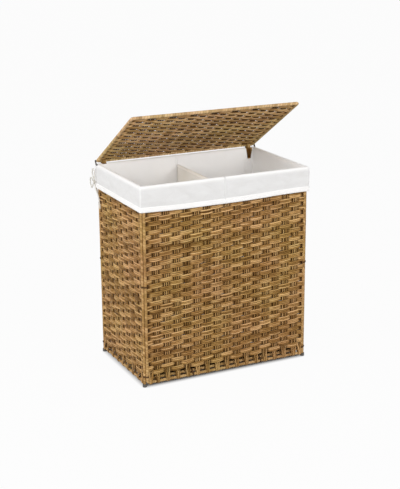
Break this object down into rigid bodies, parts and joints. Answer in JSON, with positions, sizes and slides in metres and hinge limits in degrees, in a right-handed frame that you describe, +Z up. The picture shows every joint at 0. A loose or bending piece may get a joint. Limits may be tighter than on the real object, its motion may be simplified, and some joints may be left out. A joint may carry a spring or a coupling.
{
  "type": "laundry hamper",
  "caption": "Rectangular woven laundry hamper on wrapped wire frames, with a rear-hinged woven lid and a divided cloth liner whose cuff folds over the rim.",
  "frame": {"origin": "on the floor under the middle of the hamper, without its drawstring", "axes": "+X to the hamper's right as seen from its front, -Y out of the front, +Z up"},
  "size_m": [0.5461, 0.3568, 0.7689],
  "materials": {
    "woven_strand": "plain weave of flat tan plastic strands, satin",
    "wrap_strand": "steel wire wrapped in flat tan plastic strand, satin",
    "tie_strand": "narrow brown plastic strand, satin",
    "liner_cloth": "off-white plain woven cloth, matte",
    "divider_cloth": "cream plain woven cloth, matte",
    "bracket_metal": "dark brown paint, satin",
    "foot_plastic": "dark grey-brown plastic, matte",
    "cord_cotton": "off-white twisted cotton cord, matte"
  },
  "bodies": {
    "hamper": {"front_frame": "wrap_strand", "front_weave": "woven_strand", "back_frame": "wrap_strand", "back_weave": "woven_strand", "left_frame": "wrap_strand", "left_weave": "woven_strand", "right_frame": "wrap_strand", "right_weave": "woven_strand", "bottom_frame": "wrap_strand", "bottom_weave": "woven_strand", "floor_tie_front_left": "tie_strand", "floor_tie_front_right": "tie_strand", "floor_tie_back_left": "tie_strand", "floor_tie_back_right": "tie_strand", "corner_tie_front_left_low": "tie_strand", "corner_tie_front_left_middle": "tie_strand", "corner_tie_front_left_high": "tie_strand", "corner_tie_front_right_low": "tie_strand", "corner_tie_front_right_middle": "tie_strand", "corner_tie_front_right_high": "tie_strand", "corner_tie_back_left_low": "tie_strand", "corner_tie_back_left_middle": "tie_strand", "corner_tie_back_left_high": "tie_strand", "corner_tie_back_right_low": "tie_strand", "corner_tie_back_right_middle": "tie_strand", "corner_tie_back_right_high": "tie_strand", "foot_front_left": "foot_plastic", "foot_front_right": "foot_plastic", "foot_back_left": "foot_plastic", "foot_back_right": "foot_plastic", "liner_bag": "liner_cloth", "liner_hem": "liner_cloth", "liner_divider": "divider_cloth", "hinge_binding_left": "wrap_strand", "hinge_bracket_left": "bracket_metal", "hinge_binding_right": "wrap_strand", "hinge_bracket_right": "bracket_metal", "drawstring_knot": "cord_cotton", "drawstring_loop_upper": "cord_cotton", "drawstring_loop_rear": "cord_cotton", "drawstring_tail_side": "cord_cotton", "drawstring_tail_rear": "cord_cotton"},
    "lid": {"lid_frame": "wrap_strand", "lid_weave": "woven_strand"}
  },
  "joints": [
    {"name": "lid_hinge", "type": "hinge", "parent": "hamper", "child": "lid", "pos_m": [0, 0.16354, 0.5945], "axis": [-1, 0, 0], "range_deg": [-31.9, 73]}
  ]
}
